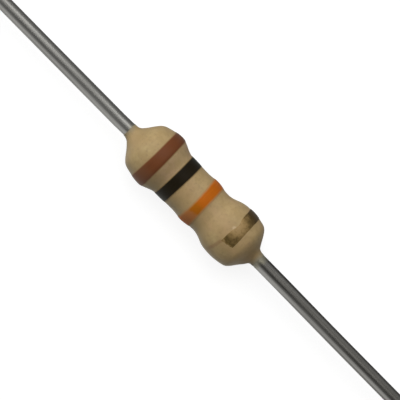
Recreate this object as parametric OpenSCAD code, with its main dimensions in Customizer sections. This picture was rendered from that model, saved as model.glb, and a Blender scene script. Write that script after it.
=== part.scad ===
// Axial carbon-film resistor, quarter watt, in millimetres.
// The axis lies along X, with the first digit's band at the -X end and +Z up.
// The origin is the middle of the body, on its axis.

/* [Body] */
// Length of the body, between the feet of its two shoulders
body_len = 6.3; // [5.2:0.1:7.6]
// Lacquer between a cap's end face and the foot of its shoulder
shoulder_len = 0.54; // [0.4:0.01:0.7]

/* [Ceramic rod] */
// Diameter of the rod
rod_dia = 1.6; // [1.3:0.05:2]
// Chamfer round each end of the rod
rod_chamfer = 0.1; // [0.06:0.01:0.2]

/* [Carbon film] */
// Thickness of the film, drawn far thicker than the real one
film_t = 0.02; // [0.01:0.005:0.04]
// Turns of the spiral cut that sets the value
cut_turns = 6; // [2:1:7]
// Width of the spiral cut, along the rod
cut_w = 0.14; // [0.08:0.01:0.18]
// Film left whole between each cap's rim and the spiral cut
cut_margin = 0.18; // [0.1:0.01:0.3]

/* [End caps] */
// Length of each cap, outside
cap_len = 1.2; // [0.8:0.05:1.45]
// Thickness of the drawn sheet
cap_wall = 0.17; // [0.12:0.01:0.22]
// Outside radius of the cap's corner
cap_corner = 0.36; // [0.24:0.01:0.4]

/* [Leads] */
// Length of each lead beyond the body
lead_len = 28; // [4:0.5:40]
// Diameter of the wire
lead_dia = 0.55; // [0.4:0.01:0.7]
// Radius of the round weld bead where the wire meets the cap
weld_bead = 0.2; // [0.06:0.01:0.24]
// Chamfer round the cut end of the wire
tip_chamfer = 0.05; // [0.02:0.01:0.1]

/* [Lacquer coat] */
// Lacquer over the first cap, at its fullest
first_crown_t = 0.145; // [0.1:0.005:0.25]
// Lacquer over the second cap, at its fullest
second_crown_t = 0.11; // [0.1:0.005:0.25]
// Lacquer over the film, beside the first cap's swell
first_waist_t = 0.105; // [0.05:0.005:0.14]
// Lacquer over the film, beside the second cap's swell
second_waist_t = 0.065; // [0.05:0.005:0.14]
// Height of the low ripple in the waist
ripple_t = 0.04; // [0:0.005:0.06]
// Thickness of the lacquer's edge on the lead
edge_t = 0.01; // [0.006:0.001:0.02]

/* [Colour code] */
// First digit
first_digit = 1; // [1:1:9]
// Second digit
second_digit = 0; // [0:1:9]
// Noughts after the two digits
noughts = 3; // [0:1:9]
// Paint of the tolerance band
tolerance_paint = "gold"; // [gold, silver]
// Thickness of the paint, in the middle of a band
paint_t = 0.018; // [0.012:0.002:0.03]
// Width of the first digit's band
first_band_w = 0.49; // [0.3:0.01:0.55]
// Width of the second digit's band
second_band_w = 0.47; // [0.3:0.01:0.55]
// Width of the multiplier band
third_band_w = 0.41; // [0.3:0.01:0.55]
// Width of the tolerance band
last_band_w = 0.47; // [0.3:0.01:0.55]
// Middle of the first band, from the body's first end
first_band_in = 1.33; // [1.2:0.01:1.5]
// Middle of the tolerance band, from the body's other end
last_band_in = 1.13; // [0.9:0.01:1.2]
// Step from the first band to the second
second_step = 1.02; // [0.9:0.01:1.1]
// Step from the second band to the multiplier band
third_step = 1.16; // [0.9:0.01:1.2]
// Part of the circle that the tolerance band's paint misses, in degrees
last_band_gap = 110; // [0:5:150]

/* [Hidden] */
$fn = 96;

// Radii of what lies on what, from the axis outwards
rod_r = rod_dia / 2;
film_r = rod_r + film_t;
cap_r = film_r + cap_wall;
lead_r = lead_dia / 2;
edge_r = lead_r + edge_t;

// Places along the axis, measured from the middle of the body
half_body = body_len / 2;
cap_face = half_body - shoulder_len;
rod_end = cap_face - cap_wall;
cap_rim = cap_face - cap_len;
lead_tip = half_body + lead_len;

// The spiral cut: its steps round a turn, and how far it passes the film's two faces
cut_span = 2 * (cap_rim - cut_margin) - cut_w;
cut_steps = 36;
cut_over = 0.04;

// The outline of the coat at the first and the second end. Each list holds the crown's radius,
// the crown's distance from the cap's face, its bend, how far past the body's end the lacquer
// runs on the lead, the length of the shoulder, how far from the rim the swell starts to fall to
// the waist, and the length of that fall.
FIRST_END = [cap_r + first_crown_t, 0.92, 0.22, 0.2, 0.96, 0.38, 0.92];
SECOND_END = [cap_r + second_crown_t, 0.73, 0.225, 0.15, 0.84, 0.19, 1.05];
ripple_x = 0.26;
ripple_half = 0.49;
// The waist goes from its first thickness to its second between -waist_half and waist_half
waist_half = 1;
coat_start = -half_body - FIRST_END[3];
coat_end = half_body + SECOND_END[3];
outline_steps = 84;

// Paint thins towards both edges of a band, to this share of its thickness
paint_edge = 0.35;
paint_steps = 12;

// The angle where the tolerance band's paint stops, from +Y over the top
paint_stop = 109;
// Wider than any section, for cutting slices
slice_w = 4;

PAINTS = [[0.13, 0.11, 0.08], [0.41, 0.25, 0.16], [0.6, 0.14, 0.11], [0.67, 0.37, 0.12],
    [0.83, 0.7, 0.2], [0.2, 0.42, 0.22], [0.17, 0.27, 0.5], [0.42, 0.28, 0.5],
    [0.45, 0.45, 0.44], [0.85, 0.84, 0.8]];
GOLD = [0.55, 0.45, 0.26];
SILVER = [0.66, 0.66, 0.65];
LACQUER = [0.69, 0.59, 0.42];
CERAMIC = [0.86, 0.84, 0.79];
CARBON = [0.16, 0.16, 0.17];
CAP_STEEL = [0.7, 0.7, 0.69];
TINNED_WIRE = [0.56, 0.56, 0.55];

// 0 below 0, 1 above 1, and between them an S that leaves both ends without a kink or a sudden bend
function ease(t) = let(c = min(max(t, 0), 1)) pow(c, 3) * (c * (6 * c - 15) + 10);

// One low round hump, 1 at its middle and 0 from half_w away
function hump(x, half_w) = abs(x) < half_w ? pow(cos(90 * x / half_w), 2) : 0;

// Radius of the waist between the two swells
function waist_r(x) = film_r + first_waist_t
    + (second_waist_t - first_waist_t) * min(max((x / waist_half + 1) / 2, 0), 1)
    + ripple_t * hump(x - ripple_x, ripple_half);

// Radius of the coat at x: the swell over the cap eases down to the waist on one side and to the
// lead on the other. On a short waist the fall ends at the middle of the body.
function coat_r(x) = let(
    end = x < 0 ? FIRST_END : SECOND_END,
    u = abs(x),
    swell = end[0] - end[2] * pow(u - cap_face + end[1], 2),
    fall_x = cap_rim + end[5],
    fall = ease((fall_x - u) / min(end[6], fall_x)),
    rise = ease((half_body + end[3] - u) / end[4]))
    edge_r + (swell + (waist_r(x) - swell) * fall - edge_r) * rise;

// Thickness of a band's paint at s, which runs from -1 at one edge to 1 at the other
function paint_at(s) = paint_t * (1 - (1 - paint_edge) * pow(s, 4));

// Corners of the cut's square-cornered section at step i
function cut_corners(i, turn_steps) = let(
    a = 360 * i / cut_steps,
    z = cut_span * (i / turn_steps - 0.5),
    near = rod_r - cut_over,
    far = film_r + cut_over)
    [for (c = [[near, -1], [far, -1], [far, 1], [near, 1]])
        [c[0] * cos(a), c[0] * sin(a), z + c[1] * cut_w / 2]];

// Turns a shape made along Z to lie along X, with its own X at +Y
module along_x() {
    rotate([90, 0, 90]) children();
}

// Puts a shape made for the +X end at the end that side (1 or -1) names
module at_end(side) {
    mirror([side < 0 ? 1 : 0, 0, 0]) children();
}

module spiral_cut() {
    n = cut_turns * cut_steps;
    walls = [for (i = [0:n - 1], k = [0:3]) let(a = 4 * i + k, b = 4 * i + (k + 1) % 4)
        each [[a, b, a + 4], [b, b + 4, a + 4]]];
    polyhedron([for (i = [0:n]) each cut_corners(i, n)],
        concat([[3, 2, 1, 0]], walls, [[4 * n, 4 * n + 1, 4 * n + 2, 4 * n + 3]]));
}

module film_shape() {
    difference() {
        rotate_extrude()
            translate([rod_r, rod_chamfer - rod_end]) square([film_t, 2 * (rod_end - rod_chamfer)]);
        spiral_cut();
    }
}

// Half section of a cap: a drawn cup with a round corner and a round rim
module cap_section() {
    difference() {
        union() {
            translate([0, cap_rim + cap_wall / 2]) square([cap_r, cap_len - cap_wall / 2 - cap_corner]);
            translate([0, cap_face - cap_corner]) square([cap_r - cap_corner, cap_corner]);
            intersection() {
                translate([cap_r - cap_corner, cap_face - cap_corner]) circle(cap_corner);
                translate([0, cap_face - cap_corner]) square(slice_w);
            }
            translate([cap_r - cap_wall / 2, cap_rim + cap_wall / 2]) circle(cap_wall / 2);
        }
        cup_hollow();
    }
}

// Half section of the space in a cap, with its corner rounded to clear the rod's chamfer
module cup_hollow() {
    translate([0, cap_rim - slice_w]) square([film_r, slice_w + cap_wall / 2]);
    translate([0, cap_rim]) square([film_r, rod_end - rod_chamfer - cap_rim]);
    translate([0, cap_rim]) square([film_r - rod_chamfer, rod_end - cap_rim]);
    intersection() {
        translate([film_r - rod_chamfer, rod_end - rod_chamfer]) circle(rod_chamfer);
        square(slice_w);
    }
}

// Half section of a lead: the round bead of its weld, and the wire with its cut end
module lead_section() {
    intersection() {
        translate([lead_r, cap_face]) circle(weld_bead);
        translate([0, cap_face]) square(slice_w);
    }
    polygon([[0, cap_face], [lead_r, cap_face], [lead_r, lead_tip - tip_chamfer],
        [lead_r - tip_chamfer, lead_tip], [0, lead_tip]]);
}

// Half section of the whole coated body
module coat_outline() {
    xs = [for (i = [0:outline_steps]) coat_start + (coat_end - coat_start) * i / outline_steps];
    polygon(concat([[0, coat_start]], [for (x = xs) [coat_r(x), x]], [[0, coat_end]]));
}

// Half section, at both ends, of what the coat covers beside the film
module covered_section() {
    for (side = [0, 1]) mirror([0, side]) {
        square([rod_r, rod_end]);
        translate([0, cap_rim + cap_wall / 2]) square([film_r, rod_end - cap_rim - cap_wall / 2]);
        cap_section();
        lead_section();
    }
}

// One painted ring round the coat, that misses gap degrees of the circle
module paint_ring(middle, width, gap = 0) {
    ss = [for (i = [0:paint_steps]) 2 * i / paint_steps - 1];
    along_x() rotate_extrude(angle = 360 - gap, start = gap == 0 ? 0 : paint_stop + gap)
        difference() {
            polygon(concat([[0, middle - width / 2]],
                [for (s = ss) let(x = middle + s * width / 2) [coat_r(x) + paint_at(s), x]],
                [[0, middle + width / 2]]));
            coat_outline();
        }
}

module ceramic_core() {
    color(CERAMIC) along_x() rotate_extrude() polygon([
        [0, -rod_end], [rod_r - rod_chamfer, -rod_end], [rod_r, rod_chamfer - rod_end],
        [rod_r, rod_end - rod_chamfer], [rod_r - rod_chamfer, rod_end], [0, rod_end]]);
}

module carbon_film() {
    color(CARBON) along_x() film_shape();
}

module end_cap(side) {
    color(CAP_STEEL) at_end(side) along_x() rotate_extrude() cap_section();
}

module lead(side) {
    color(TINNED_WIRE) at_end(side) along_x() rotate_extrude() lead_section();
}

module lacquer_coat() {
    color(LACQUER) along_x() difference() {
        rotate_extrude() difference() {
            coat_outline();
            covered_section();
        }
        film_shape();
    }
}

module first_digit_band() {
    color(PAINTS[first_digit]) paint_ring(first_band_in - half_body, first_band_w);
}

module second_digit_band() {
    color(PAINTS[second_digit])
        paint_ring(first_band_in - half_body + second_step, second_band_w);
}

module multiplier_band() {
    color(PAINTS[noughts])
        paint_ring(first_band_in - half_body + second_step + third_step, third_band_w);
}

module tolerance_band() {
    color(tolerance_paint == "gold" ? GOLD : SILVER)
        paint_ring(half_body - last_band_in, last_band_w, last_band_gap);
}

ceramic_core();
carbon_film();
end_cap(-1);  // first_end_cap
end_cap(1);  // second_end_cap
lead(-1);  // first_lead
lead(1);  // second_lead
lacquer_coat();
first_digit_band();
second_digit_band();
multiplier_band();
tolerance_band();
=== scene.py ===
"""Looks of a quarter-watt axial resistor: lacquered body, painted colour code, tinned wires.

Every length is in metres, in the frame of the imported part: the wire's axis lies along X, the
first digit's band is at the -X end, and +Z is up. Angles round the axis are measured from +Y
over the top, so +Z is a quarter turn and -Y is half a turn.
"""

import bpy
import numpy as np
from mathutils import Matrix, Vector


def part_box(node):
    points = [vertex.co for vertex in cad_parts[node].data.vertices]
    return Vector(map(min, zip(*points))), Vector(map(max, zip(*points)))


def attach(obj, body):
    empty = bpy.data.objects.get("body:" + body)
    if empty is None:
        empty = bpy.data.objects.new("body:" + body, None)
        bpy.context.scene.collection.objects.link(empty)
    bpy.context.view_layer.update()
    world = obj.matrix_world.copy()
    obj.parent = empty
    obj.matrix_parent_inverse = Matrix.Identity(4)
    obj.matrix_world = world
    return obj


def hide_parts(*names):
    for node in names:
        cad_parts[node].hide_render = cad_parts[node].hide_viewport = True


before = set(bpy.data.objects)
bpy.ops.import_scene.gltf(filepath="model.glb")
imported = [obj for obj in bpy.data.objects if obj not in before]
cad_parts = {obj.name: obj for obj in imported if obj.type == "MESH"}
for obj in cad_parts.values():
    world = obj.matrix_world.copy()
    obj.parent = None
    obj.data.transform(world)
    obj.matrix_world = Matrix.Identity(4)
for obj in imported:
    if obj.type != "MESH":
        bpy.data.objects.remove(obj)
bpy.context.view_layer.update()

MM = 0.001
FULL_TURN = 2 * np.pi

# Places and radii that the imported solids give
CAP_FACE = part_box("second_end_cap")[1].x
CAP_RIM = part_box("second_end_cap")[0].x
CAP_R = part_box("second_end_cap")[1].z
FILM_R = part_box("carbon_film")[1].z
LEAD_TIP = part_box("second_lead")[1].x
FLOOR_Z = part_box("first_digit_band")[0].z

# The body's own sizes
HALF_BODY = 3.15 * MM
WIRE_R = 0.275 * MM
WELD_BEAD = 0.2 * MM
CAP_CORNER = 0.36 * MM
COAT_EDGE = 0.01 * MM

# Steps of the grids: along and round the body, along and round a wire, over the rounded corner
# of a cap and of a weld bead, across a ring, and across and along the gold ring
BODY_STEPS, ROUND_STEPS = 300, 192
WIRE_STEPS, WIRE_ROUND_STEPS = 240, 64
CORNER_STEPS, BEAD_STEPS = 8, 7
RING_STEPS = 23
GOLD_STEPS, GOLD_ROUND_STEPS = 25, 161

# Seeds of the unevenness of the coat, of its edge on the wire, of the gold ring and of the wires
COAT_SEED, EDGE_SEED, GOLD_SEED, WIRE_SEED = 11, 5, 41, 60

# The coat's outline in millimetres, as a pair: at the first end and at the second
CROWN_RISE = (0.145, 0.11)    # height of the crown over the cap's wall
CROWN_BACK = (0.92, 0.73)     # from the cap's face back to the crown
CROWN_CURVE = (0.22, 0.225)   # factor of the crown's parabola
WAIST_START = (0.38, 0.19)    # from the cap's rim out to where the waist begins
WAIST_EASE = (0.92, 1.05)     # length of the slope between crown and waist
NECK_END = (0.2, 0.15)        # from the body's end out to where the coat is thinnest
NECK_EASE = (0.96, 0.84)      # length of the slope between crown and wire

# The coat at the waist in millimetres: its height over the film, how much of that is gone at the
# second end, and the place, half width and height of a low hump
WAIST_COAT, WAIST_TAPER = 0.105, 0.04
HUMP_AT, HUMP_HALF, HUMP_RISE = 0.26, 0.49, 0.04

# Where the coat lies off the axis, in millimetres: how far towards +Y, at what place and over
# what width
OFF_AXIS = ((0.018, -1.85, 0.5), (-0.022, -3.0, 0.25), (-0.045, 3.0, 0.14))
# How uneven the coat is, in millimetres
COAT_UNEVEN = 0.004
# The first neck's fuller -Y side: height, place and width in millimetres
NECK_FULLER, NECK_FULLER_AT, NECK_FULLER_WIDTH = 0.024, -3.13, 0.15
# How far the lacquer's ragged edge draws back along the wire, the place from which it does, and
# the length over which that comes in
DRAW_BACK, DRAW_BACK_FROM, DRAW_BACK_EASE = 0.035 * MM, 2.9 * MM, 0.35 * MM

# Thickness of a paint ring, and how deep its underside lies in the coat
PAINT_T = 0.018 * MM
PAINT_SEAT = 0.004 * MM
# Width of the thin edges of the paint rings
DIGIT_FADE = 0.06 * MM
MULTIPLIER_FADE = 0.11 * MM
# The gold paint: the angles in degrees where it starts and stops, and how far the stop leans
# across the ring
GOLD_START, GOLD_STOP, GOLD_LEAN = 219 - 360, 111.5, 2.4
# How ragged its start and its stop are, in radians
GOLD_START_RAGGED, GOLD_STOP_RAGGED = 0.02, 0.008
# The angle where it went on thinnest, and the depth and width of the hollow in its edge there
GOLD_THINNEST = np.radians(71)
GOLD_HOLLOW, GOLD_HOLLOW_WIDTH = 0.075 * MM, 0.2
# The part of its thickness that is left at its start and stop, and the part of its length over
# which it thins
GOLD_END_LEFT, GOLD_END_PART = 0.15, 0.02

# How far the wires bend towards -Y, in millimetres, and the part of it that the first wire has
# at once
WIRE_BEND, EARLY_BEND = 0.02, 0.013
# The sheared end in millimetres: the places back from the tip, and how far in from the skin
SHEAR_BACK = (0.03, 0.01, 0.0)
SHEAR_IN = (0.01, 0.035, 0.06)
SHEAR_SLANT, SHEAR_SLANT_EASE = 0.02 * MM, 0.08 * MM
# How uneven the drawn wire is
WIRE_UNEVEN, WIRE_UNEVEN_LENGTH = 0.0015 * MM, 6 * MM

# Distance of the softboxes from the body, and for each its name, the direction from the body,
# its edge in metres and its power in watts
LAMP_DISTANCE = 0.15
LAMPS = (
    ("end_softbox", (-0.91, 0.0, 0.42), 0.12, 0.103),
    ("top_softbox", (-0.26, 0.48, 0.84), 0.13, 0.144),
    ("side_softbox", (-0.45, -0.6, 0.65), 0.13, 0.009),
)
# The plain light that reaches the body from the horizon, and from overhead
AMBIENT_LOW, AMBIENT_HIGH = 0.014, 0.19
# The floor: the grey that throws light back on the body, and the shaded part and the even part
# of the white that is seen
FLOOR_HALF = 1.0
FLOOR_BOUNCE = 0.32
FLOOR_SHADED, FLOOR_EVEN = 0.28, 0.86
# The levels of the floor that a reflection finds, out from the -Y side of the body, and under the
# body and beyond
GLOSS_OUTSIDE, GLOSS_UNDER = 0.85, 0.14


# ---------------------------------------------------------------- camera and light

def set_camera():
    """A parallel view from above, tipped a little towards the first end, in which the wire
    runs down to the right."""
    aim = Vector((0.265, 0.033, 0.0)) * MM
    back = Vector((-0.032, 0.0, 1.0)).normalized()
    up = Vector((-0.7129, 0.7013, 0.0))
    up = (up - up.dot(back) * back).normalized()
    distance, width_seen = 80 * MM, 14.286 * MM
    data = bpy.data.cameras.new("camera")
    data.type = "ORTHO"
    data.ortho_scale = width_seen
    data.clip_start, data.clip_end = 1 * MM, 1.0
    cam = bpy.data.objects.new("camera", data)
    turn = Matrix((up.cross(back), up, back)).transposed()
    cam.matrix_world = Matrix.Translation(aim + distance * back) @ turn.to_4x4()
    bpy.context.scene.collection.objects.link(cam)
    bpy.context.scene.camera = cam


def add_softbox(name, toward, edge, power):
    """A square lamp that faces the body from the direction toward."""
    data = bpy.data.lights.new(name, "AREA")
    data.shape, data.size, data.energy = "SQUARE", edge, power
    lamp = bpy.data.objects.new(name, data)
    lamp.location = Vector(toward).normalized() * LAMP_DISTANCE
    lamp.rotation_mode = "QUATERNION"
    lamp.rotation_quaternion = lamp.location.to_track_quat("Z", "Y")
    bpy.context.scene.collection.objects.link(lamp)


# ---------------------------------------------------------------- node helpers

def add_node(tree, kind, inputs=(), **settings):
    """A node of that kind with its settings, and its inputs as (name or number, value or
    socket) pairs."""
    node = tree.nodes.new("ShaderNode" + kind)
    for name, value in settings.items():
        setattr(node, name, value)
    for name, value in inputs:
        if isinstance(value, bpy.types.NodeSocket):
            tree.links.new(value, node.inputs[name])
        else:
            node.inputs[name].default_value = value
    return node


def maths(tree, operation, *values):
    """One Math node on the values."""
    return add_node(tree, "Math", list(enumerate(values)), operation=operation).outputs[0]


def times(tree, *shares):
    """The product of all the shares."""
    product = shares[0]
    for share in shares[1:]:
        product = maths(tree, "MULTIPLY", product, share)
    return product


def spread(tree, value, low, high, to_low=0.0, to_high=1.0, how="SMOOTHSTEP"):
    """value carried from the range low..high to to_low..to_high, and held at its ends."""
    node = add_node(tree, "MapRange", [(0, value), (1, low), (2, high), (3, to_low), (4, to_high)],
                    interpolation_type=how)
    return node.outputs[0]


def near(tree, value, middle, inner, outer, most=1.0, least=0.0):
    """most where value is within inner of middle, and least where it is outer or more away."""
    apart = maths(tree, "ABSOLUTE", maths(tree, "SUBTRACT", value, middle))
    return spread(tree, apart, inner, outer, most, least)


def blend_colours(tree, share, first, second):
    """The mix of two colours: first where share is 0, second where it is 1."""
    node = add_node(tree, "Mix", [(0, share), (6, first), (7, second)], data_type="RGBA")
    return node.outputs[2]


def lay_over(tree, tone, *layers):
    """tone with the layers laid over it in turn, each a share and its colour."""
    for share, layer_tone in layers:
        tone = blend_colours(tree, share, tone, layer_tone)
    return tone


def grain(tree, place, fineness, stretch=(1, 1, 1), detail=3.0, start=(0, 0, 0)):
    """Noise from 0 to 1 with about fineness cells to the millimetre, stretched by axis."""
    scale = [fineness / MM * s for s in stretch]
    mapped = add_node(tree, "Mapping", [(0, place), (1, start), (3, scale)])
    noise = add_node(tree, "TexNoise",
                     [("Vector", mapped.outputs[0]), ("Scale", 1.0), ("Detail", detail)])
    return noise.outputs[0]


def split(tree, place):
    """The x, y and z of a place."""
    return add_node(tree, "SeparateXYZ", [(0, place)]).outputs


def angle_round(tree, y, z):
    """The angle round the axis, from +Y over the top, in radians from -pi to pi."""
    return maths(tree, "ARCTAN2", z, y)


def distance_to(tree, place, x, y, z):
    """Distance from a point that is given in millimetres."""
    point = (x * MM, y * MM, z * MM)
    return add_node(tree, "VectorMath", [(0, place), (1, point)],
                    operation="DISTANCE").outputs["Value"]


def new_finish(name, roughness, metal=0.0, specular=0.5, sheen=0.0):
    """A material whose shader holds the uniform values, with its tree, shader and the place
    on the piece."""
    finish = bpy.data.materials.new(name)
    finish.use_nodes = True
    tree = finish.node_tree
    shader = tree.nodes["Principled BSDF"]
    shader.inputs["Roughness"].default_value = roughness
    shader.inputs["Metallic"].default_value = metal
    shader.inputs["Specular IOR Level"].default_value = specular
    shader.inputs["Sheen Weight"].default_value = sheen
    shader.inputs["Sheen Roughness"].default_value = 0.4
    shader.inputs["Sheen Tint"].default_value = (0.85, 1.0, 0.9, 1.0)
    place = add_node(tree, "TexCoord").outputs["Object"]
    return finish, tree, shader, place


def set_colour(tree, shader, tone):
    """The tone as the shader's colour."""
    tree.links.new(tone, shader.inputs["Base Color"])


def set_bump(tree, shader, height, depth):
    """Small relief on the surface, depth metres high."""
    relief = add_node(tree, "Bump", [("Height", height), ("Distance", depth), ("Strength", 1.0)])
    tree.links.new(relief.outputs[0], shader.inputs["Normal"])


def colour(red, green, blue):
    """A linear colour from sRGB parts of 0 to 255."""
    parts = np.array([red, green, blue]) / 255
    linear = np.where(parts <= 0.04045, parts / 12.92, ((parts + 0.055) / 1.055) ** 2.4)
    return (*linear.tolist(), 1.0)


# ---------------------------------------------------------------- finishes

LACQUER = colour(180, 154, 108)
LACQUER_CLOUD = colour(174, 149, 104)
LACQUER_PINK = colour(182, 152, 109)
LACQUER_PAINTED_LIGHT = colour(187, 163, 116)
LACQUER_MOTTLE = colour(170, 144, 98)
LACQUER_SPECK = colour(155, 130, 95)
LACQUER_GLINT = colour(208, 184, 146)
LACQUER_FIRST_FLANK_SHADE = colour(179, 156, 114)
LACQUER_FLANK_SHADE = colour(167, 146, 105)
LACQUER_OUTER_FLANK_SHADE = colour(155, 136, 102)
LACQUER_FIRST_NECK_SHADE = colour(160, 136, 96)
LACQUER_SECOND_NECK_SHADE = colour(152, 126, 87)
LACQUER_RUN_OUT = colour(146, 139, 118)
LACQUER_BESIDE_BROWN = colour(181, 151, 116)
LACQUER_SHADED = colour(165, 140, 103)
LACQUER_UNDER_PAINT = colour(173, 146, 102)
LACQUER_UNDER_GOLD = colour(168, 138, 89)
MISSED_PAINT = colour(150, 115, 80)
BROWN, BROWN_WORN, BROWN_PAINTED_SHEEN = colour(114, 64, 33), colour(104, 60, 33), colour(117, 74, 46)
BLACK, BLACK_WORN = colour(27, 20, 6), colour(35, 28, 13)
ORANGE, ORANGE_WORN = colour(198, 104, 15), colour(176, 92, 17)
ORANGE_BROWN, ORANGE_THIN = colour(178, 103, 14), colour(184, 120, 72)
GOLD, GOLD_FLAKE, GOLD_DARK_REFLECTION = colour(92, 74, 38), colour(122, 100, 56), colour(84, 65, 31)
TIN, TIN_LINE, TIN_BLOOM = colour(126, 125, 121), colour(153, 152, 148), colour(108, 107, 103)
TIN_PAINTED_HIGHLIGHT, TIN_DARK_REFLECTION = colour(170, 169, 165), colour(69, 67, 63)
TIN_UNDER_LACQUER = colour(142, 137, 114)
PLATE, PLATE_BRIGHT = colour(168, 167, 163), colour(208, 207, 202)
CERAMIC_PORE, CERAMIC = colour(206, 201, 188), colour(228, 224, 213)
CARBON, CARBON_HAZE = colour(46, 46, 48), colour(84, 84, 88)

# Middle of the gap between the brown ring and the black one
BESIDE_BROWN = -1.3 * MM
# The +Y shoulder and the soft patches where light is painted on the lacquer, in millimetres
LIT_SHOULDER = np.radians(50)
LIT_PATCHES = ((-2.45, -0.63, 0.84), (1.55, -0.66, 0.88), (-2.4, 0.0, 1.1), (2.1, -0.85, 0.7))
# A painted highlight beside the gold ring, in millimetres
GLINT_POINT = (1.81, 0.2, 1.08)
# The painted highlight line along the wires
HIGHLIGHT_LINE_Y = -0.175 * MM


def missed_paint(tree, x, angle):
    """A faint line on the -Y side, where the tolerance band's roller touched the lacquer and left
    almost no paint. It drifts towards -X as it goes round, and runs out there."""
    drift = times(tree, maths(tree, "SUBTRACT", angle, 2.0), -0.185 * MM)
    line = near(tree, maths(tree, "SUBTRACT", x, drift), 1.8 * MM, 0.02 * MM, 0.1 * MM, 0.6)
    return times(tree, line, spread(tree, angle, np.radians(109), np.radians(116)),
                 spread(tree, angle, np.radians(140), np.radians(172), 1.0, 0.0))


def painted_light_share(tree, place, angle):
    """Where light is painted on the lacquer as a paler tone, from 0 to 1: along the +Y shoulder of
    the body, and in soft patches on the -Y side and the top of the swells."""
    share = near(tree, angle, LIT_SHOULDER, np.radians(12), np.radians(30), 0.5)
    for point in LIT_PATCHES:
        patch = spread(tree, distance_to(tree, place, *point), 0.1 * MM, 0.42 * MM, 1.0, 0.0)
        share = maths(tree, "MAXIMUM", share, patch)
    return share


def lacquer_finish():
    """Tan lacquer: soft cloudy tone with fine specks, and greyer where it runs out thin over the
    wire. Painted shade makes it greyer and darker on its -Y flank, darker along the -Y rim up to
    the waist and darker on the necks; painted light makes it paler along the +Y shoulder and in
    soft patches. Beside the tolerance band it holds a faint line of missed paint and one painted
    highlight."""
    finish, tree, shader, place = new_finish("tan_lacquer", 0.5, specular=0.22, sheen=0.08)
    x, y, z = split(tree, place)
    angle = angle_round(tree, y, z)
    # 1 at +Y, 0 over the top and underneath, -1 at -Y
    sideways = maths(tree, "COSINE", angle)
    clouds = grain(tree, place, 0.9, detail=2.0, start=(3, 1, 2))
    tint = grain(tree, place, 2.2, detail=2.0, start=(8, 3, 5))
    mottle = grain(tree, place, 4.5, detail=2.0, start=(2, 7, 1))
    specks = grain(tree, place, 10.0, detail=2.0)
    pinker = maths(tree, "ADD", spread(tree, tint, 0.42, 0.68, 0.0, 0.45),
                   spread(tree, x, -1.7 * MM, -1.1 * MM, 0.0, 0.5))
    # painted shade: darker on the -Y side beside the brown ring
    shaded = times(tree, spread(tree, sideways, -0.5, 0.0, 0.7, 0.0),
                   near(tree, x, BESIDE_BROWN, 0.25 * MM, 0.5 * MM))
    # painted shade: a greyer tone on the -Y flank, darker from the middle of the brown-black gap
    # onwards
    shaded_flank = blend_colours(tree, spread(tree, x, -1.6 * MM, -1.2 * MM), LACQUER_FIRST_FLANK_SHADE,
                          LACQUER_FLANK_SHADE)
    # painted shade: a darker rim along the -Y edge, from the first end to the waist
    outer_flank_shade = times(tree, spread(tree, sideways, -0.97, -0.8, 0.6, 0.0),
                        spread(tree, x, 1.0 * MM, 1.6 * MM, 1.0, 0.0))
    # painted shade: darker on the first neck, most on its +Y side
    first_neck_shade = times(tree, spread(tree, x, -2.88 * MM, -2.7 * MM, 1.0, 0.0),
                       spread(tree, sideways, -0.2, 0.6, 0.15, 0.55))
    # distance from the middle, uneven and a little less at the first end
    run_out = maths(tree, "ADD", maths(tree, "ABSOLUTE", x),
                    times(tree, grain(tree, place, 2.5, detail=1.0), 0.12 * MM))
    run_out = maths(tree, "SUBTRACT", run_out, spread(tree, x, -1 * MM, 1 * MM, 0.1 * MM, 0.0))
    tone = lay_over(
        tree, LACQUER,
        (spread(tree, clouds, 0.35, 0.65), LACQUER_CLOUD),
        (pinker, LACQUER_PINK),
        (near(tree, x, BESIDE_BROWN, 0.25 * MM, 0.6 * MM, 0.8), LACQUER_BESIDE_BROWN),
        (shaded, LACQUER_SHADED),
        (spread(tree, sideways, -0.95, -0.3, 0.85, 0.0), shaded_flank),
        (outer_flank_shade, LACQUER_OUTER_FLANK_SHADE),
        # painted light: a paler tone on the +Y shoulder and the patches
        (painted_light_share(tree, place, angle), LACQUER_PAINTED_LIGHT),
        # painted shade: darker on the second neck
        (spread(tree, x, 2.74 * MM, 2.9 * MM, 0.0, 0.6), LACQUER_SECOND_NECK_SHADE),
        (first_neck_shade, LACQUER_FIRST_NECK_SHADE),
        (spread(tree, mottle, 0.38, 0.64, 0.0, 0.5), LACQUER_MOTTLE),
        (spread(tree, specks, 0.5, 0.8, 0.0, 0.45), LACQUER_SPECK),
        (missed_paint(tree, x, angle), MISSED_PAINT),
        # painted highlight: a pale glint beside the gold ring
        (spread(tree, distance_to(tree, place, *GLINT_POINT), 0.04 * MM, 0.1 * MM, 0.7, 0.0),
         LACQUER_GLINT),
        (spread(tree, run_out, 3.05 * MM, 3.36 * MM), LACQUER_RUN_OUT))
    set_colour(tree, shader, tone)
    set_bump(tree, shader, grain(tree, place, 4.0, detail=3.0), 0.006 * MM)
    return finish


def thin_edges(tree, tone, fade):
    """Paint that thins out over the last fade metres before a ring's edge, where the lacquer
    shows through."""
    inset = add_node(tree, "Attribute", attribute_name="inset").outputs["Fac"]
    return blend_colours(tree, spread(tree, inset, 0.0, fade, 0.9, 0.0), tone,
                         LACQUER_UNDER_PAINT)


def paint_finish(name, tone, worn_tone, specular=0.09):
    """Code paint, rolled on: faint streaks run round the ring. The colour is left to be joined
    to the shader."""
    finish, tree, shader, place = new_finish(name, 0.55, specular=specular, sheen=0.1)
    streaks = grain(tree, place, 1.0, stretch=(14, 0.6, 0.6), detail=3.0)
    patches = grain(tree, place, 1.6, detail=2.0, start=(5, 2, 7))
    worn = times(tree, spread(tree, streaks, 0.3, 0.75), spread(tree, patches, 0.25, 0.8))
    painted = blend_colours(tree, worn, tone, worn_tone)
    set_bump(tree, shader, streaks, 0.004 * MM)
    return finish, tree, shader, place, painted


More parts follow.
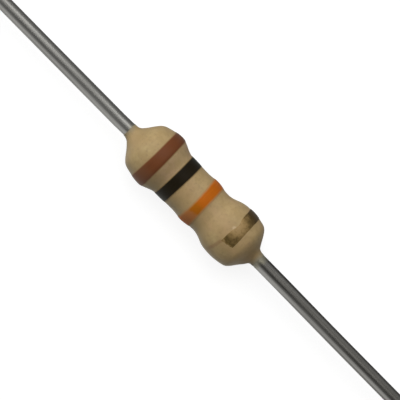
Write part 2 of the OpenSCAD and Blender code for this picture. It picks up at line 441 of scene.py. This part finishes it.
def brown_finish(fade):
    """Brown code paint, with a painted greyer sheen on the -Y side."""
    finish, tree, shader, place, painted = paint_finish("brown_paint", BROWN, BROWN_WORN, 0.15)
    _, y, _ = split(tree, place)
    # painted sheen: the -Y side turns greyer and lighter
    painted = blend_colours(tree, spread(tree, y, -0.75 * MM, -0.33 * MM, 0.9, 0.0), painted,
                            BROWN_PAINTED_SHEEN)
    set_colour(tree, shader, thin_edges(tree, painted, fade))
    return finish


def black_finish(fade):
    """Black code paint, a little brown."""
    finish, tree, shader, _, painted = paint_finish("black_paint", BLACK, BLACK_WORN)
    set_colour(tree, shader, thin_edges(tree, painted, fade))
    return finish


def orange_finish(fade):
    """Orange code paint, that turns browner over the top and then, for a stretch of the -Y side,
    is so thin that the lacquer shows through."""
    finish, tree, shader, place, painted = paint_finish("orange_paint", ORANGE, ORANGE_WORN)
    _, y, z = split(tree, place)
    angle = angle_round(tree, y, z)
    drift = times(tree, grain(tree, place, 4.0, detail=2.0), 0.35)
    turned = maths(tree, "ADD", angle, drift)
    back = spread(tree, angle, np.radians(142), np.radians(168), 1.0, 0.0)
    browner = spread(tree, turned, np.radians(100), np.radians(113), 0.0, 0.85)
    thin = spread(tree, turned, np.radians(123), np.radians(135), 0.0, 0.8)
    painted = lay_over(tree, painted, (times(tree, browner, back), ORANGE_BROWN),
                       (times(tree, thin, back), ORANGE_THIN))
    set_colour(tree, shader, thin_edges(tree, painted, fade))
    return finish


def gold_finish():
    """Gold code paint: metal flake in a dark olive binder, with a painted dark reflection at its
    +Y end. Where it went on thin, over the top and along the ragged inner edge, the lacquer shows
    through."""
    finish, tree, shader, place = new_finish("gold_paint", 0.42, metal=0.6, specular=0.2)
    x, y, z = split(tree, place)
    flakes = grain(tree, place, 12.0, detail=3.0)
    patches = grain(tree, place, 4.0, detail=3.0, start=(1, 4, 2))
    drift = times(tree, maths(tree, "SUBTRACT", patches, 0.5), np.radians(34))
    angle = maths(tree, "ADD", angle_round(tree, y, z), drift)
    over_top = near(tree, angle, GOLD_THINNEST, np.radians(4), np.radians(38), 0.95)
    inner = spread(tree, x, 1.95 * MM, 2.3 * MM, 1.0, 0.6)
    thin = times(tree, over_top, inner, spread(tree, flakes, 0.3, 0.55, 0.7, 1.0))
    thin = maths(tree, "MAXIMUM", thin, spread(tree, angle, np.radians(110), np.radians(118),
                                               0.0, 0.8))
    tone = lay_over(
        tree, GOLD,
        (spread(tree, flakes, 0.3, 0.75), GOLD_FLAKE),
        # painted dark reflection at the +Y end
        (spread(tree, angle, np.radians(28), np.radians(50), 1.0, 0.0), GOLD_DARK_REFLECTION),
        (thin, LACQUER_UNDER_GOLD))
    set_colour(tree, shader, tone)
    tree.links.new(spread(tree, thin, 0.0, 1.0, 0.6, 0.0), shader.inputs["Metallic"])
    set_bump(tree, shader, flakes, 0.003 * MM)
    return finish


def dark_reflection_share(tree, x, y, z, bloom):
    """How much dark reflection is painted on the tin, from 0 to 1: a stripe along the wire a
    little off its top, faint on the first wire, and the upper half of the wire's flanks."""
    middle = spread(tree, x, 0.0, 3 * MM, -0.055 * MM, 0.025 * MM)
    from_stripe = maths(tree, "ABSOLUTE", maths(tree, "SUBTRACT", y, middle))
    from_stripe = maths(tree, "ADD", from_stripe, times(tree, bloom, 0.08 * MM))
    stripe = times(tree, spread(tree, from_stripe, 0.09 * MM, 0.19 * MM, 0.82, 0.15),
                   spread(tree, x, 0.0, 3 * MM, 0.22, 1.0))
    shaded_flank = times(tree, spread(tree, y, 0.17 * MM, 0.235 * MM, 0.0, 0.9),
                  spread(tree, x, 0.0, 3 * MM, 0.35, 1.0))
    other_flank = times(tree, spread(tree, y, -0.25 * MM, -0.19 * MM, 0.5, 0.0),
                        spread(tree, x, 3.4 * MM, 5.5 * MM, 0.0, 1.0))
    dull = maths(tree, "MAXIMUM", maths(tree, "MAXIMUM", stripe, shaded_flank), other_flank)
    return times(tree, dull, spread(tree, z, -0.12 * MM, -0.01 * MM),
                 spread(tree, x, LEAD_TIP - 0.5 * MM, LEAD_TIP - 0.1 * MM, 1.0, 0.0))


def tinned_wire_finish():
    """Dull tin on drawn wire: fine lines run along it, with a painted highlight line and painted
    dark reflections, and a pale uneven film of lacquer lies on its first fraction of a millimetre."""
    finish, tree, shader, place = new_finish("tinned_wire", 0.42, metal=1.0)
    x, y, z = split(tree, place)
    lines = grain(tree, place, 1.0, stretch=(0.12, 9, 9), detail=4.0)
    bloom = grain(tree, place, 1.0, stretch=(0.3, 3, 3), detail=3.0, start=(2, 9, 4))
    # distance from the middle, uneven and a little more at the first end
    reach = maths(tree, "ADD", maths(tree, "ABSOLUTE", x),
                  times(tree, grain(tree, place, 3.0, stretch=(0.6, 1, 1), detail=2.0),
                        0.4 * MM))
    reach = maths(tree, "ADD", reach, spread(tree, x, -1 * MM, 1 * MM, 0.14 * MM, 0.0))
    film = spread(tree, reach, 3.44 * MM, 3.78 * MM, 0.8, 0.0)
    tone = lay_over(
        tree, TIN,
        (spread(tree, lines, 0.3, 0.7), TIN_LINE),
        (spread(tree, bloom, 0.45, 0.75, 0.0, 0.4), TIN_BLOOM),
        # painted highlight line along the wire
        (near(tree, y, HIGHLIGHT_LINE_Y, 0.03 * MM, 0.065 * MM, 0.5), TIN_PAINTED_HIGHLIGHT),
        # painted dark reflections along the top and the flanks
        (dark_reflection_share(tree, x, y, z, bloom), TIN_DARK_REFLECTION),
        (film, TIN_UNDER_LACQUER))
    set_colour(tree, shader, tone)
    tree.links.new(spread(tree, film, 0.0, 1.0, 1.0, 0.15), shader.inputs["Metallic"])
    tree.links.new(spread(tree, bloom, 0.3, 0.7, 0.4, 0.52), shader.inputs["Roughness"])
    set_bump(tree, shader, lines, 0.002 * MM)
    return finish


def plated_cap_finish():
    """Tin plate on a drawn steel cup, with faint rings round it from the draw."""
    finish, tree, shader, place = new_finish("plated_cap", 0.3, metal=1.0)
    rings = grain(tree, place, 1.0, stretch=(18, 0.8, 0.8), detail=3.0)
    set_colour(tree, shader, blend_colours(tree, rings, PLATE, PLATE_BRIGHT))
    set_bump(tree, shader, rings, 0.003 * MM)
    return finish


def fired_ceramic_finish():
    """Unglazed off-white rod with fine pores."""
    finish, tree, shader, place = new_finish("fired_ceramic", 0.7)
    pores = grain(tree, place, 14.0, detail=4.0)
    set_colour(tree, shader, blend_colours(tree, spread(tree, pores, 0.35, 0.6), CERAMIC_PORE,
                                           CERAMIC))
    set_bump(tree, shader, pores, 0.006 * MM)
    return finish


def carbon_finish():
    """Dark grey film with a soft lustre."""
    finish, tree, shader, place = new_finish("carbon_film", 0.38, metal=0.3)
    haze = grain(tree, place, 6.0, detail=3.0)
    set_colour(tree, shader, blend_colours(tree, haze, CARBON, CARBON_HAZE))
    return finish


# ---------------------------------------------------------------- shapes

def ease(t):
    """0 below 0, 1 above 1, and the S curve 6t^5 - 15t^4 + 10t^3 between."""
    t = np.clip(t, 0.0, 1.0)
    return t ** 3 * (t * (6 * t - 15) + 10)


def bump(x, middle, width):
    """The bell curve exp(-((x - middle) / width)^2), with its lengths in millimetres."""
    return np.exp(-((x / MM - middle) / width) ** 2)


def turn_angles(steps):
    """One full turn in even steps, as a row that doesn't repeat its start."""
    return np.linspace(0, FULL_TURN, steps + 1)[None, :-1]


def quarter_turn(steps):
    """Even angles from 0 to a quarter turn, for a rounded corner."""
    return np.linspace(0, np.pi / 2, steps)


def ripple(along, round_, seed, length=1.2 * MM):
    """A sum of cosine waves over the surface, from -1 to 1 or so, that closes round the axis.
    along is the place on the axis and round_ the angle."""
    waves = 7
    draw = np.random.default_rng(seed)
    total = np.zeros(np.broadcast(along, round_).shape)
    for _ in range(waves):
        turns, phase = draw.integers(0, 5), draw.uniform(0, FULL_TURN)
        pull = draw.uniform(-1, 1) * FULL_TURN / length
        total += draw.uniform(0.4, 1.0) * np.cos(turns * round_ + pull * along + phase)
    return total / waves ** 0.5


def waist_radius(x):
    """The coat between the two swells: a slow taper with one low cosine hump on it."""
    taper = np.clip((x / MM + 1) / 2, 0, 1)
    hump = np.cos(np.clip((x - HUMP_AT * MM) / (HUMP_HALF * MM), -1, 1) * np.pi / 2) ** 2
    return FILM_R + (WAIST_COAT - WAIST_TAPER * taper + HUMP_RISE * hump) * MM


def body_radius(x):
    """The coat's outline: over each cap a crown, a parabola in x, that eases down to the waist
    on one side and to the wire on the other."""
    def by_end(pair):
        """The pair's first value at the first end, and its second at the other."""
        return np.where(x < 0, *pair)
    out = np.abs(x)
    crown_r = CAP_R + by_end(CROWN_RISE) * MM
    crown_at = CAP_FACE - by_end(CROWN_BACK) * MM
    swell = crown_r - by_end(CROWN_CURVE) / MM * (out - crown_at) ** 2
    fall = ease((CAP_RIM + by_end(WAIST_START) * MM - out) / (by_end(WAIST_EASE) * MM))
    rise = ease((HALF_BODY + by_end(NECK_END) * MM - out) / (by_end(NECK_EASE) * MM))
    foot = WIRE_R + COAT_EDGE
    return foot + (swell + (waist_radius(x) - swell) * fall - foot) * rise


def coat_surface(x, angle):
    """The lacquer's outer radius at a place and angle: the outline, that lies a little off the
    axis in places, with a slow unevenness. Both fade out on the wire. The first neck is fuller on
    its -Y side by a bell curve along the axis."""
    smooth = body_radius(x)
    off_axis = sum(toward_y * bump(x, middle, width) for toward_y, middle, width in OFF_AXIS)
    uneven = COAT_UNEVEN * ripple(x, angle, COAT_SEED) * ease((smooth - WIRE_R) / (0.5 * MM))
    shift = off_axis * np.cos(angle) * np.clip((smooth - WIRE_R) / (0.1 * MM), 0, 1)
    fuller = (NECK_FULLER * bump(x, NECK_FULLER_AT, NECK_FULLER_WIDTH)
              * (1 - np.cos(angle)) / 2)
    return smooth + (uneven + shift + fuller) * MM


def dome(s):
    """The thickness of a paint film, 1 - 0.8 s^4 of PAINT_T, with s from -1 to 1 across it."""
    return PAINT_T * (1 - 0.8 * s ** 4)


def skin(rows, cols, close_rows, close_cols=True):
    """Quads over a grid of rows by cols points, facing out where rows run to +X and columns from
    +Y over +Z. Where close_cols, the last column meets the first, and so with close_rows."""
    i = np.arange(rows if close_rows else rows - 1)[:, None]
    j = np.arange(cols if close_cols else cols - 1)[None, :]
    i2, j2 = (i + 1) % rows, (j + 1) % cols
    quads = np.stack([i * cols + j, i * cols + j2, i2 * cols + j2, i2 * cols + j], axis=-1)
    return quads.reshape(-1, 4)


def round_points(x, radius, angle):
    """Points at place x on the axis, and at radius and angle round it."""
    x, radius, angle = np.broadcast_arrays(x, radius, angle)
    return np.stack([x, radius * np.cos(angle), radius * np.sin(angle)], axis=-1).reshape(-1, 3)


def add_piece(name, points, faces, finish, nodes, sharp, inset=None):
    """A mesh object at the origin, from blocks of faces, that stands for CAD nodes and rides on
    the root body. Edges over sharp degrees stay crisp. inset is how far each point lies from a
    paint ring's edge."""
    mesh = bpy.data.meshes.new(name)
    mesh.from_pydata(points.tolist(), [], [face for block in faces for face in block.tolist()])
    mesh.shade_smooth()
    mesh.set_sharp_from_angle(angle=np.radians(sharp))
    mesh.materials.append(finish)
    if inset is not None:
        mesh.attributes.new("inset", "FLOAT", "POINT").data.foreach_set("value", inset.ravel())
    piece = bpy.data.objects.new(name, mesh)
    bpy.context.scene.collection.objects.link(piece)
    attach(piece, "root")
    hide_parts(*nodes)


def make_coat(finish):
    """The lacquer as a closed shell: the outer surface from end to end, then the surface that
    lies on the caps, the film and the wires on the way back. Each is a radius over the grid of
    place and angle. The edge on the wire draws back unevenly."""
    start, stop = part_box("lacquer_coat")[0].x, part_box("lacquer_coat")[1].x
    angle = turn_angles(ROUND_STEPS)
    out_x = np.linspace(start, stop, BODY_STEPS)
    outer = coat_surface(out_x[:, None], angle)
    draw_back = DRAW_BACK * (1 + ripple(0.0, angle, EDGE_SEED) / 2)
    bend = quarter_turn(CORNER_STEPS)
    half_x = np.concatenate([[CAP_RIM, CAP_RIM], CAP_FACE - CAP_CORNER * (1 - np.sin(bend)),
                             CAP_FACE + WELD_BEAD * np.sin(bend)])
    half_r = np.concatenate([[FILM_R, CAP_R], CAP_R - CAP_CORNER * (1 - np.cos(bend)),
                             WIRE_R + WELD_BEAD * np.cos(bend)])
    in_x = np.concatenate([[stop], half_x[::-1], -half_x, [start]])
    in_r = np.concatenate([[WIRE_R], half_r[::-1], half_r, [WIRE_R]])
    x = np.concatenate([out_x, in_x])[:, None]
    x = x - np.sign(x) * draw_back * ease((np.abs(x) - DRAW_BACK_FROM) / DRAW_BACK_EASE)
    radius = np.concatenate([outer, np.broadcast_to(in_r[:, None], (len(in_r), angle.size))])
    faces = [skin(len(x), angle.size, close_rows=True)]
    add_piece("lacquer_body", round_points(x, radius, angle), faces, finish, ["lacquer_coat"],
              sharp=50)


def ring_section(node, seed, angle, wobble, skew, bow):
    """Edges of a paint ring round the axis, from its CAD box. The left and the right edge each
    lean by their skew and bend by their bow, in millimetres, as c and c^2 with c the cosine of
    the angle, and both waver, slowly and with half of that again six times as fast."""
    c = np.cos(angle)
    edges = []
    for k, edge in enumerate(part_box(node)):
        waver = ripple(0.0, angle, seed + k) + ripple(0.0, 6 * angle, seed + k + 2) / 2
        edges.append(edge.x + MM * (skew[k] * c + bow[k] * (c ** 2 - 0.4) + wobble * waver))
    return edges


def make_ring(node, finish, fade, seed, wobble, skew, bow):
    """A painted ring: a film that is domed over s, from -1 to 1 across it, and an underside
    seated a little in the coat. Its thin edges, fade wide, lie half outside the ring of the
    frame."""
    angle = turn_angles(ROUND_STEPS)
    left, right = ring_section(node, seed, angle, wobble, skew, bow)
    half_width = (right - left + fade) / 2
    s = np.linspace(-1, 1, RING_STEPS)[:, None]
    x = (left + right) / 2 + s * half_width
    inset = (1 - np.abs(s)) * half_width
    coat = coat_surface(x, angle)
    radius = np.concatenate([coat + dome(s), (coat - PAINT_SEAT)[::-1]])
    x = np.concatenate([x, x[::-1]])
    faces = [skin(len(x), angle.size, close_rows=True)]
    add_piece(node + "_paint", round_points(x, radius, angle), faces, finish, [node],
              sharp=40, inset=np.concatenate([inset, inset[::-1]]))


def make_tolerance_ring(finish):
    """The gold ring, which misses the -Y side: the same domed film over part of the turn, that
    thins to nothing at its two ragged ends. Its inner edge has a hollow, a bell curve, where the
    paint is thinnest."""
    node = "tolerance_band"
    s = np.linspace(-1, 1, GOLD_STEPS)[:, None]
    t = np.linspace(0, 1, GOLD_ROUND_STEPS)[None, :]
    stop = np.radians(GOLD_STOP - GOLD_LEAN * s) + GOLD_STOP_RAGGED * np.cos(9 * s + 1)
    start = np.radians(GOLD_START) + GOLD_START_RAGGED * np.cos(5 * s)
    angle = start + (stop - start) * t
    left, right = ring_section(node, GOLD_SEED, angle, wobble=0.008, skew=(-0.02, -0.012),
                               bow=(-0.02, -0.025))
    left = left + GOLD_HOLLOW * np.exp(-((angle - GOLD_THINNEST) / GOLD_HOLLOW_WIDTH) ** 2)
    x = (left + right) / 2 + s * (right - left) / 2
    full = ease(np.minimum(t, 1 - t) / GOLD_END_PART)
    coat = coat_surface(x, angle)
    top = coat + dome(s) * (GOLD_END_LEFT + (1 - GOLD_END_LEFT) * full)
    grid = [round_points(x, top, angle), round_points(x, coat - PAINT_SEAT, angle)]
    rows, cols = len(s), t.size
    over = skin(rows, cols, False, False)
    count = rows * cols
    # the points along the four edges in turn, from which the sides go down to the underside
    rim = np.concatenate([
        np.arange(cols - 1), np.arange(rows - 1) * cols + cols - 1,
        (rows - 1) * cols + np.arange(cols - 1, 0, -1), np.arange(rows - 1, 0, -1) * cols])
    next_rim = np.roll(rim, -1)
    sides = np.stack([next_rim, rim, rim + count, next_rim + count], axis=-1)
    faces = [over, over[:, ::-1] + count, sides]
    add_piece(node + "_paint", np.concatenate(grid), faces, finish, [node],
              sharp=40)


def make_lead(side, node, finish):
    """A wire from its weld on the cap to its sheared end: a profile of radius over place, turned
    round the axis. The weld is a round bead, and the cut face is a little aslant. The wire eases
    over towards -Y by the S curve within 5 mm of the body, and a part of the first wire's bend
    within 0.8 mm."""
    bead = quarter_turn(BEAD_STEPS)
    wire_x = np.linspace(CAP_FACE + WELD_BEAD + 0.1 * MM, LEAD_TIP - 0.06 * MM, WIRE_STEPS)
    x = np.concatenate([CAP_FACE + WELD_BEAD * np.sin(bead), wire_x,
                        LEAD_TIP - np.array(SHEAR_BACK) * MM])
    radius = np.concatenate([WIRE_R + WELD_BEAD * np.cos(bead), np.full(len(wire_x), WIRE_R),
                             WIRE_R - np.array(SHEAR_IN) * MM])
    angle = turn_angles(WIRE_ROUND_STEPS)
    bare = ease((x - HALF_BODY) / (1 * MM))[:, None]
    uneven = WIRE_UNEVEN * bare * ripple(x[:, None], angle, WIRE_SEED + side, WIRE_UNEVEN_LENGTH)
    slant = SHEAR_SLANT * ease((x[:, None] - LEAD_TIP + SHEAR_SLANT_EASE) / SHEAR_SLANT_EASE)
    place = x[:, None] - slant * (1 + np.cos(angle - 1.0))
    rows, cols = len(x), angle.size
    poles = np.array([[side * CAP_FACE, 0, 0], [side * (LEAD_TIP - SHEAR_SLANT), 0, 0]])
    points = np.concatenate([round_points(side * place, radius[:, None] + uneven, angle), poles])
    out = np.abs(points[:, 0]) - HALF_BODY
    early = EARLY_BEND if side < 0 else 0.0
    points[:, 1] -= MM * (early * ease(out / (0.8 * MM))
                          + (WIRE_BEND - early) * ease(out / (5 * MM)))
    j = np.arange(cols)
    k = (j + 1) % cols
    near_fan = np.stack([np.full(cols, rows * cols), j, k], axis=-1)
    far_fan = np.stack([np.full(cols, rows * cols + 1), j, k], axis=-1)
    far_fan[:, 1:] += (rows - 1) * cols
    faces = [skin(rows, cols, close_rows=False), near_fan[:, ::-1], far_fan]
    if side < 0:
        faces = [block[:, ::-1] for block in faces]
    add_piece(node + "_wire", points, faces, finish, [node], sharp=35)


# ---------------------------------------------------------------- stage

def seen_directly(tree):
    """1 for rays from the camera, off a glossy surface or through a clear one, and 0 for the
    rest."""
    path = add_node(tree, "LightPath")
    seen = maths(tree, "MAXIMUM", path.outputs["Is Camera Ray"], path.outputs["Is Glossy Ray"])
    return maths(tree, "MAXIMUM", seen, path.outputs["Is Transmission Ray"])


def level_seen(tree, direct, reflected):
    """direct for what is seen itself, and reflected for what a glossy surface shows."""
    glossy = add_node(tree, "LightPath").outputs["Is Glossy Ray"]
    return add_node(tree, "Mix", [(0, glossy), (2, direct), (3, reflected)]).outputs[0]


def matt(tree, grey):
    """A matt surface of that grey, from 0 to 1."""
    return add_node(tree, "BsdfDiffuse", [("Color", (grey, grey, grey, 1))]).outputs[0]


def make_floor():
    """A wide pale floor under the body. The camera sees it white, with the body's shadow on it.
    A reflection finds it pale out from the -Y side of the body, and dark under the body and
    beyond."""
    corners = [(-FLOOR_HALF, -FLOOR_HALF, FLOOR_Z), (FLOOR_HALF, -FLOOR_HALF, FLOOR_Z),
               (FLOOR_HALF, FLOOR_HALF, FLOOR_Z), (-FLOOR_HALF, FLOOR_HALF, FLOOR_Z)]
    mesh = bpy.data.meshes.new("floor")
    mesh.from_pydata(corners, [], [(0, 1, 2, 3)])
    floor = bpy.data.objects.new("floor", mesh)
    bpy.context.scene.collection.objects.link(floor)
    finish = bpy.data.materials.new("pale_floor")
    finish.use_nodes = True
    tree = finish.node_tree
    tree.nodes.clear()
    _, y, _ = split(tree, add_node(tree, "TexCoord").outputs["Object"])
    reflected = spread(tree, y, -1.5 * MM, -0.3 * MM, GLOSS_OUTSIDE, GLOSS_UNDER)
    even = add_node(tree, "Emission", [("Strength", level_seen(tree, FLOOR_EVEN, reflected))])
    white = add_node(tree, "AddShader", [(0, matt(tree, FLOOR_SHADED)), (1, even.outputs[0])])
    both = add_node(tree, "MixShader", [(0, seen_directly(tree)), (1, matt(tree, FLOOR_BOUNCE)),
                                        (2, white.outputs[0])])
    add_node(tree, "OutputMaterial", [("Surface", both.outputs[0])])
    mesh.materials.append(finish)


def make_surroundings():
    """A white background, with a plain soft light on the body that is stronger from above. A
    reflection finds it white low down on the -Y side, and dark overhead and on the +Y side."""
    world = bpy.data.worlds.new("studio")
    bpy.context.scene.world = world
    world.use_nodes = True
    tree = world.node_tree
    tree.nodes.clear()
    toward = add_node(tree, "TexCoord").outputs["Generated"]
    _, _, height = split(tree, toward)
    ambient = spread(tree, height, 0.0, 1.0, AMBIENT_LOW, AMBIENT_HIGH, how="LINEAR")
    pale_side = (0.45, -0.89, 0.0)
    sideways = add_node(tree, "VectorMath", [(0, toward), (1, pale_side)],
                        operation="DOT_PRODUCT").outputs["Value"]
    reflected = times(tree, spread(tree, height, 0.3, 0.9, 1.0, 0.12),
                      spread(tree, sideways, -0.5, 0.5, 0.3, 1.0))
    level = add_node(tree, "Mix", [(0, seen_directly(tree)), (2, ambient),
                                   (3, level_seen(tree, 1.0, reflected))])
    shade = add_node(tree, "Background", [("Color", (1, 1, 1, 1)),
                                          ("Strength", level.outputs[0])])
    add_node(tree, "OutputWorld", [("Surface", shade.outputs[0])])


# ---------------------------------------------------------------- the resistor

set_camera()
make_floor()
make_surroundings()
for lamp in LAMPS:
    add_softbox(*lamp)
bpy.context.scene.view_settings.view_transform = "Standard"

make_coat(lacquer_finish())
make_ring("first_digit_band", brown_finish(DIGIT_FADE), DIGIT_FADE, seed=21,
          wobble=0.005, skew=(0.015, -0.018), bow=(0.0, 0.0))
make_ring("second_digit_band", black_finish(DIGIT_FADE), DIGIT_FADE, seed=25,
          wobble=0.004, skew=(0.012, 0.02), bow=(-0.01, -0.01))
make_ring("multiplier_band", orange_finish(MULTIPLIER_FADE), MULTIPLIER_FADE,
          seed=29, wobble=0.01, skew=(-0.018, -0.03), bow=(-0.05, 0.025))
make_tolerance_ring(gold_finish())
wire = tinned_wire_finish()
make_lead(-1, "first_lead", wire)
make_lead(1, "second_lead", wire)

INNER_FINISHES = {
    "ceramic_core": fired_ceramic_finish(),
    "carbon_film": carbon_finish(),
    "first_end_cap": plated_cap_finish(),
}
INNER_FINISHES["second_end_cap"] = INNER_FINISHES["first_end_cap"]
for node, finish in INNER_FINISHES.items():
    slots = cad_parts[node].data.materials
    slots.clear()
    slots.append(finish)
